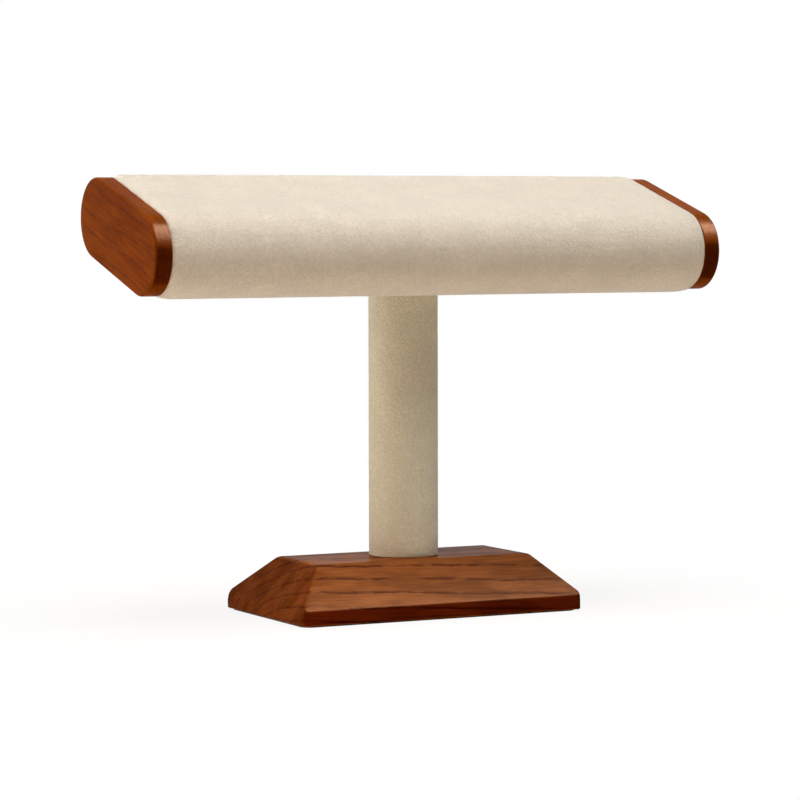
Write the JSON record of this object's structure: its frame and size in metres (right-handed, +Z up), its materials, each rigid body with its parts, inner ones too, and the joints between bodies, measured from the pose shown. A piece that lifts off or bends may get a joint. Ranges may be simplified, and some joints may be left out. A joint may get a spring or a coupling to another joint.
{
  "type": "jewelry display stand",
  "caption": "Padded, fabric-wrapped bar with wooden end caps, leaning forward on a wrapped post over a bevelled wooden base, for bracelets and watches.",
  "frame": {"origin": "on the table under the post's axis, at the middle of the felt", "axes": "+X along the bar, -Y towards the viewer, where the bar's edge is lower, +Z up"},
  "size_m": [0.25, 0.0792, 0.176],
  "materials": {
    "stained_ash": "reddish brown stain under a satin varnish, open grain",
    "bar_microfibre": "cream suede-like microfibre",
    "post_microfibre": "cream suede-like microfibre, wrapped tightly round the post",
    "felt": "dark brown felt",
    "foam": "thin white foam sheet",
    "raw_wood": "raw, sanded",
    "steel": "zinc plated",
    "brass": "turned"
  },
  "bodies": {
    "root": {"base_block": "stained_ash", "base_felt": "felt", "clamp_bolt": "steel", "lock_washer": "steel", "flat_washer": "steel", "post_core": "raw_wood", "post_cover": "post_microfibre", "bar_core": "raw_wood", "bar_insert": "brass", "bar_foam": "foam", "bar_cover": "bar_microfibre", "end_cap_left": "stained_ash", "end_cap_right": "stained_ash", "dowel_left_front": "raw_wood", "dowel_left_back": "raw_wood", "dowel_right_front": "raw_wood", "dowel_right_back": "raw_wood"}
  },
  "joints": []
}
